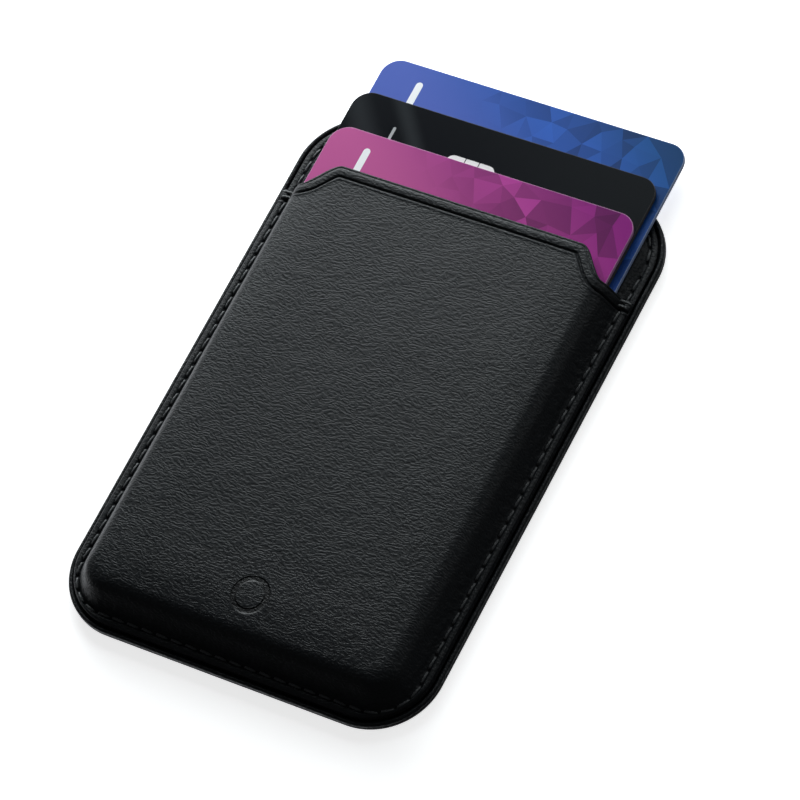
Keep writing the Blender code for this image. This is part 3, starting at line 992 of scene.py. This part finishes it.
def make_cards():
    """The three cards, each with a plain bar where a real card has lettering."""
    blue = card_finish(
        "blue_print",
        "rear_card",
        colours=((0.075, 0.122, 0.45), (0.024, 0.09, 0.38), (0.004, 0.056, 0.18)),
        gradient_span=(-26.0, 28.0),
        core_and_highlight_rim=(0.42, 0.5, 0.7),
    )
    magenta = card_finish(
        "magenta_print",
        "front_card",
        colours=((0.5, 0.095, 0.29), (0.33, 0.04, 0.22), (0.19, 0.007, 0.15)),
        gradient_span=(-27.0, 26.0),
        core_and_highlight_rim=(0.6, 0.33, 0.52),
    )
    black = black_card_finish("black_print")
    make_card("rear_printed_card", "rear_card", "rear_card", blue, 21)
    make_card("middle_printed_card", "middle_card", "middle_card", black, 5)
    make_card("front_printed_card", "front_card", "front_card", magenta, 34)
    white = mark_finish("white_ink", (0.85, 0.85, 0.87))
    grey = mark_finish("grey_ink", (0.3, 0.31, 0.32))
    make_mark("rear_card_mark", "rear_card", (-18.6, 52.6), BAR_SIZE, white)
    make_mark("front_card_mark", "front_card", (-20.0, 38.0), BAR_SIZE, white)
    make_mark("middle_card_mark", "middle_card", (-18.2, 44.6), SMALL_BAR_SIZE, grey)


def make_chip():
    """Contact plate: rounded pads with thin gaps, round one middle pad."""
    low, high = box_mm("middle_card_chip")
    high[2] = box_mm("middle_card")[1][2] + PAD_RISE
    plating = mark_finish("contact_plating", (0.75, 0.74, 0.72))
    points = []
    faces = []
    width = high[0] - low[0]
    length = high[1] - low[1]
    columns = ((0.0, 0.36), (0.36, 0.64), (0.64, 1.0))
    rows = ((0.0, 0.25), (0.25, 0.5), (0.5, 0.75), (0.75, 1.0))
    pads = []
    for left, right in (columns[0], columns[2]):
        for bottom, top in rows:
            pads.append((left, right, bottom, top))
    pads.append((columns[1][0], columns[1][1], 0.0, 0.22))
    pads.append((columns[1][0], columns[1][1], 0.22, 0.78))
    pads.append((columns[1][0], columns[1][1], 0.78, 1.0))
    for left, right, bottom, top in pads:
        x0 = low[0] + left * width + (PAD_GAP / 2 if left else 0.0)
        x1 = low[0] + right * width - (PAD_GAP / 2 if right < 1 else 0.0)
        y0 = low[1] + bottom * length + (PAD_GAP / 2 if bottom else 0.0)
        y1 = low[1] + top * length - (PAD_GAP / 2 if top < 1 else 0.0)
        ring = []
        for corner_x, corner_y, start in ((x1, y1, 0), (x0, y1, 90), (x0, y0, 180), (x1, y0, 270)):
            outer_x = corner_x in (low[0], high[0])
            outer_y = corner_y in (low[1], high[1])
            radius = CHIP_CORNER if outer_x and outer_y else 0.15
            centre_x = corner_x + (radius if corner_x == x0 else -radius)
            centre_y = corner_y + (radius if corner_y == y0 else -radius)
            for step in range(7):
                angle = math.radians(start + 90 * step / 6)
                ring.append((centre_x + radius * math.cos(angle), centre_y + radius * math.sin(angle)))
        count = len(ring)
        first = len(points)
        middle_x = sum(x for x, y in ring) / count
        middle_y = sum(y for x, y in ring) / count
        levels = ((1.0, low[2]), (1.0, high[2] - PAD_RISE), (0.985, high[2]))
        for share, height in levels:
            for x, y in ring:
                pad_x = middle_x + (x - middle_x) * share
                pad_y = middle_y + (y - middle_y) * share
                points.append((pad_x, pad_y, height))
        for a, b, c, d in grid_faces(3, count, closed=True):
            faces.append((first + a, first + b, first + c, first + d))
        faces.append([first + i for i in reversed(range(count))])
        faces.append([first + 2 * count + i for i in range(count)])
    chip = mesh_object("contact_pads", points, faces, plating, smooth=False)
    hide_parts("middle_card_chip")
    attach(chip, "middle_card")


def finish_hidden_nodes():
    """Better materials for the CAD nodes that stay: board, magnets, shield and the front's sheets."""
    board = fibre_finish("fibre_board", (0.2, 0.19, 0.17), 0.05)
    lining = fibre_finish("brushed_lining", (0.02, 0.02, 0.022), 0.08)
    nickel = metal_finish("nickel_plating", (0.62, 0.6, 0.56), 0.24)
    steel = metal_finish("rolled_steel", (0.5, 0.5, 0.5), 0.35)
    finishes = {
        "core_board": board,
        "front_stiffener": board,
        "front_lining": lining,
        "shield_plate": steel,
        "alignment_magnet": nickel,
    }
    for name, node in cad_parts.items():
        finish = nickel if name.startswith("ring_magnet") else finishes.get(name)
        if finish is None:
            continue
        for slot in node.material_slots:
            slot.material = finish


# ---------------------------------------------------------------- stage, light and camera


def only_seen_by_camera(obj):
    """Leaves an object in the picture, but out of reflections, bounced light and shadows."""
    obj.visible_diffuse = False
    obj.visible_glossy = False
    obj.visible_transmission = False
    obj.visible_shadow = False


def pale_finish(name, glow):
    """White paint that also glows a little, so that the background stays white."""
    shader = Shader(name)
    shade = shader.noise(shader.coordinates, 0.7, detail=1.0)
    paint = shader.mix(shade, (0.89, 0.89, 0.89), (0.91, 0.91, 0.91))
    return shader.finish(paint, 0.9, Emission_Color=(1.0, 1.0, 1.0, 1.0), Emission_Strength=glow)


def make_stage():
    """White floor and round backdrop, for the camera alone."""
    half = STAGE_HALF
    floor = mesh_object(
        "pale_floor",
        [(-half, -half, 0.0), (half, -half, 0.0), (half, half, 0.0), (-half, half, 0.0)],
        [(0, 1, 2, 3)],
        pale_finish("pale_floor_paint", 0.75),
        smooth=False,
    )
    steps = 64
    points = []
    for height in (BACKDROP_LOW, BACKDROP_HIGH):
        for step in range(steps):
            angle = 2 * math.pi * step / steps
            points.append((BACKDROP_RADIUS * math.cos(angle), BACKDROP_RADIUS * math.sin(angle), height))
    paint = pale_finish("pale_backdrop_paint", 0.95)
    wall = mesh_object("pale_backdrop", points, grid_faces(2, steps, closed=True), paint)
    for obj in (floor, wall):
        only_seen_by_camera(obj)


def softbox(name, towards, distance, size, power, colour):
    """A square area light in a direction from the object's middle, aimed back at it."""
    lamp = bpy.data.lights.new(name, "AREA")
    lamp.shape = "SQUARE"
    lamp.size = size
    lamp.energy = power
    lamp.color = colour
    obj = link(bpy.data.objects.new(name, lamp))
    direction = Vector(towards).normalized()
    obj.location = direction * distance
    obj.rotation_euler = direction.to_track_quat("Z", "Y").to_euler()


def make_lights():
    """Two lights beyond the left end, a low key light and a higher one, and a weak one on the right."""
    softbox("key_light", (-0.62, 0.76, 0.4), distance=0.25, size=0.18, power=0.66, colour=(0.92, 0.98, 1.0))
    softbox("top_light", (-0.15, 0.74, 0.66), distance=0.3, size=0.18, power=0.3, colour=(0.92, 0.98, 1.0))
    softbox("rim_light", (0.62, 0.72, 0.36), distance=0.6, size=0.3, power=0.45, colour=(0.93, 0.98, 1.0))


def make_world():
    """Dim surroundings with one broad pale glow from below on the left."""
    world = bpy.data.worlds.new("studio")
    bpy.context.scene.world = world
    world.use_nodes = True
    tree = world.node_tree
    background = tree.nodes["Background"]
    place = tree.nodes.new("ShaderNodeTexCoord")
    dot = tree.nodes.new("ShaderNodeVectorMath")
    dot.operation = "DOT_PRODUCT"
    tree.links.new(place.outputs["Generated"], dot.inputs[0])
    dot.inputs[1].default_value = Vector(LOWER_GLOW).normalized()
    glow = tree.nodes.new("ShaderNodeMapRange")
    glow.interpolation_type = "SMOOTHSTEP"
    tree.links.new(dot.outputs["Value"], glow.inputs["Value"])
    glow.inputs["From Min"].default_value = 0.35
    glow.inputs["From Max"].default_value = 1.0
    glow.inputs["To Min"].default_value = 0.06
    glow.inputs["To Max"].default_value = 1.6
    tree.links.new(glow.outputs[0], background.inputs["Strength"])
    background.inputs["Color"].default_value = (0.93, 0.96, 1.0, 1.0)


def make_camera():
    """Camera at the photograph's viewing angle, from the lower right and above."""
    azimuth = math.radians(50.04)
    elevation = math.radians(57.19)
    roll = math.radians(-26.2)
    distance = 0.7859
    target = Vector((4.88, 2.79, 4.0)) * MM
    back = Vector((
        math.sin(azimuth) * math.cos(elevation),
        -math.cos(azimuth) * math.cos(elevation),
        math.sin(elevation),
    ))
    right = Vector((math.cos(azimuth), math.sin(azimuth), 0.0))
    up = back.cross(right)
    rolled_right = right * math.cos(roll) + up * math.sin(roll)
    rolled_up = back.cross(rolled_right)
    turn = Matrix((rolled_right, rolled_up, back)).transposed()
    data = bpy.data.cameras.new("photo_camera")
    data.sensor_width = 36.0
    data.lens = 232.7
    data.clip_start = 0.01
    data.clip_end = 20.0
    camera = link(bpy.data.objects.new("photo_camera", data))
    camera.matrix_world = Matrix.Translation(target + back * distance) @ turn.to_4x4()
    bpy.context.scene.camera = camera


def build():
    pocket_seam = make_front_panel()
    edge_seam = make_inner_panel()
    make_back_cover()
    make_stitches("pocket_stitches", "pocket_seam_thread", pocket_seam, lowest_y=-HALF_LENGTH)
    make_stitches("edge_stitches", "edge_seam_thread", edge_seam, lowest_y=OPENING_LOW_Y + 0.6)
    make_bar_tacks()
    make_cards()
    make_chip()
    finish_hidden_nodes()
    make_stage()
    make_lights()
    make_world()
    make_camera()
    bpy.context.scene.view_settings.view_transform = "Standard"


build()
